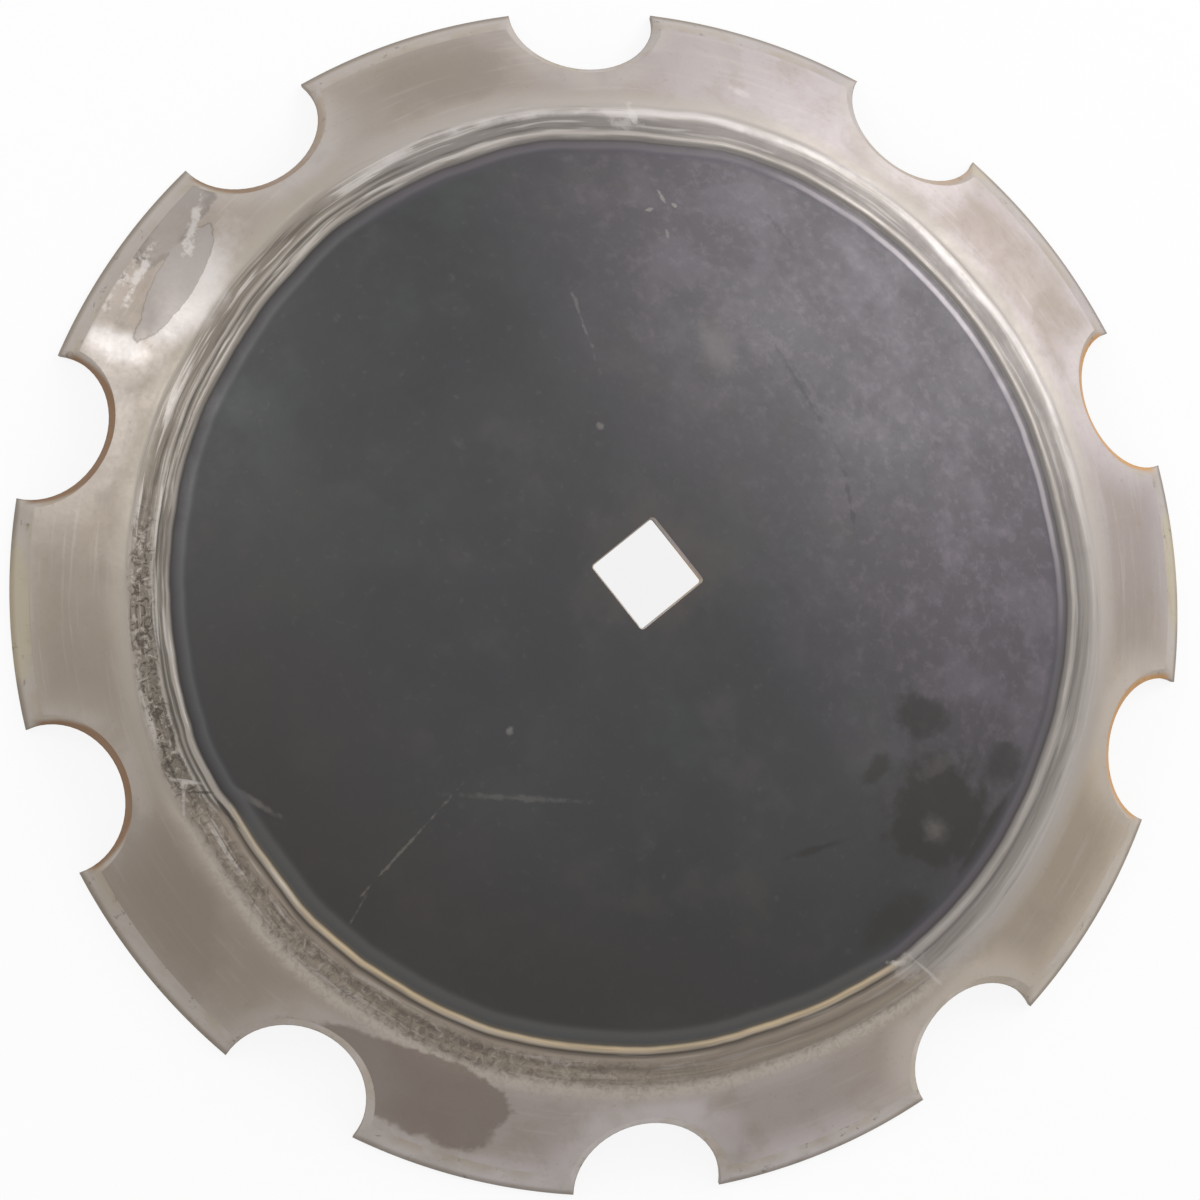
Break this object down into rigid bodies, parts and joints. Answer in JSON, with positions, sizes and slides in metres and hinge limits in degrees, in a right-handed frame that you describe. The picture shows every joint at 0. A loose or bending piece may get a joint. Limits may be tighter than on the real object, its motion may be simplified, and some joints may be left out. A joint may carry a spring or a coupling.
{
  "type": "harrow disc blade",
  "caption": "Dished round steel blade with rounded notches along its bevelled rim, a pressed ring near the edge and a square axle hole in the middle.",
  "frame": {"origin": "centre of the rim's resting plane, on the disc axis", "axes": "+Z along the disc axis out of the domed face; +X through the middle of a notch; +Y through the middle of a lobe; the square hole's sides run along X and Y"},
  "size_m": [0.6054, 0.6098, 0.0883],
  "materials": {
    "blade_steel": "used pressed steel, dark film on the dome, bare and stained towards the rim"
  },
  "bodies": {
    "root": {"disc_blade": "blade_steel"}
  },
  "joints": []
}
